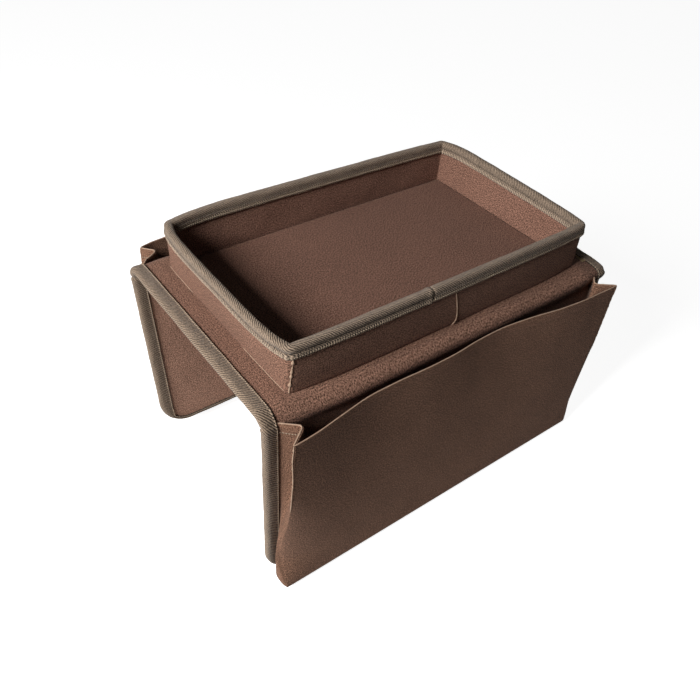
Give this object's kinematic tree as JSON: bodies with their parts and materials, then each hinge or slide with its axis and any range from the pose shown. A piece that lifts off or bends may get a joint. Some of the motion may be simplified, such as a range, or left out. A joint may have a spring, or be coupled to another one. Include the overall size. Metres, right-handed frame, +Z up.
{
  "type": "sofa armrest organizer",
  "caption": "Fabric saddle that hangs over a sofa armrest, with an open walled tray sewn on top and a gusseted pocket on each folding side flap, all edges bound in tape.",
  "frame": {"origin": "on the ground under the middle of the organizer, as it stands on the feet of its two pockets", "axes": "+X along the armrest, +Z up, the near pocket on the -Y side and the far pocket on the +Y side"},
  "size_m": [0.36, 0.2768, 0.2345],
  "materials": {
    "cover": "matte woven polyester",
    "lining": "matte woven polyester",
    "pocket": "matte woven polyester",
    "binding": "matte twill tape",
    "felt": "needled felt",
    "board": "grey board"
  },
  "bodies": {
    "saddle": {"top_cover": "cover", "top_board": "board", "top_lining": "lining", "front_top_binding": "binding", "back_top_binding": "binding", "tray_floor_board": "board", "tray_floor_cover": "cover", "front_wall_board": "board", "near_wall_board": "board", "back_wall_board": "board", "far_wall_board": "board", "tray_outer_band": "cover", "tray_lining_band": "lining", "tray_rim_binding": "binding", "near_shoulder_cover": "cover", "near_shoulder_lining": "lining", "near_shoulder_front_binding": "binding", "near_shoulder_back_binding": "binding", "far_shoulder_cover": "cover", "far_shoulder_lining": "lining", "far_shoulder_front_binding": "binding", "far_shoulder_back_binding": "binding"},
    "near_flap": {"near_flap_cover": "cover", "near_flap_felt": "felt", "near_flap_lining": "lining", "near_flap_binding": "binding", "near_pocket_front_gusset": "pocket", "near_pocket_back_gusset": "pocket", "near_pocket_bottom": "pocket"},
    "far_flap": {"far_flap_cover": "cover", "far_flap_felt": "felt", "far_flap_lining": "lining", "far_flap_binding": "binding", "far_pocket_front_gusset": "pocket", "far_pocket_back_gusset": "pocket", "far_pocket_bottom": "pocket"},
    "near_pocket": {"near_pocket_front": "pocket"},
    "far_pocket": {"far_pocket_front": "pocket"}
  },
  "joints": [
    {"name": "near_flap_fold", "type": "hinge", "parent": "saddle", "child": "near_flap", "pos_m": [0, -0.11253, 0.188], "axis": [-1, 0, 0], "range_deg": [-25, 90], "deforming": ["near_shoulder_cover", "near_shoulder_lining", "near_shoulder_front_binding", "near_shoulder_back_binding"]},
    {"name": "far_flap_fold", "type": "hinge", "parent": "saddle", "child": "far_flap", "pos_m": [0, 0.10247, 0.188], "axis": [1, 0, 0], "range_deg": [-16.6, 98.4], "deforming": ["far_shoulder_cover", "far_shoulder_lining", "far_shoulder_front_binding", "far_shoulder_back_binding"]},
    {"name": "near_pocket_opening", "type": "hinge", "parent": "near_flap", "child": "near_pocket", "pos_m": [0, -0.13403, 0.0027], "axis": [1, 0, 0], "range_deg": [-2.5, 4.6], "deforming": ["near_pocket_front_gusset", "near_pocket_back_gusset", "near_pocket_bottom"]},
    {"name": "far_pocket_opening", "type": "hinge", "parent": "far_flap", "child": "far_pocket", "pos_m": [0, 0.0974, 0.00649], "axis": [-1, 0, 0], "range_deg": [-6.5, 3.9], "deforming": ["far_pocket_front_gusset", "far_pocket_back_gusset", "far_pocket_bottom"]}
  ]
}
